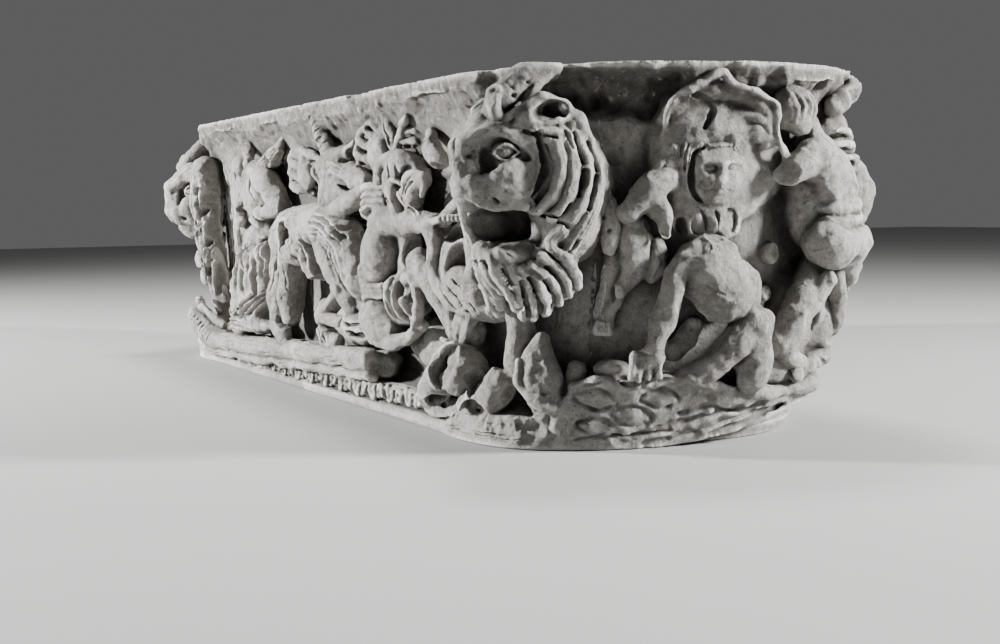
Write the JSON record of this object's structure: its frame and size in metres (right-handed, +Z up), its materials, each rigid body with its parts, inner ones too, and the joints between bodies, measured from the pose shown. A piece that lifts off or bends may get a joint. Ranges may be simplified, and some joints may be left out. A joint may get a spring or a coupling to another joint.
{
  "type": "stone sarcophagus",
  "caption": "Trough-shaped marble sarcophagus with rounded ends, an open hollow, lion heads on the front corners and a high-relief figure frieze.",
  "frame": {"origin": "on the flat underside, under the middle of the rim's outline", "axes": "+X along the length, -Y out of the carved front, +Z up towards the open rim"},
  "size_m": [2.1015, 0.7335, 0.55],
  "materials": {
    "marble": "weathered carved white marble, matt and slightly rough"
  },
  "bodies": {
    "root": {"sarcophagus": "marble"}
  },
  "joints": []
}
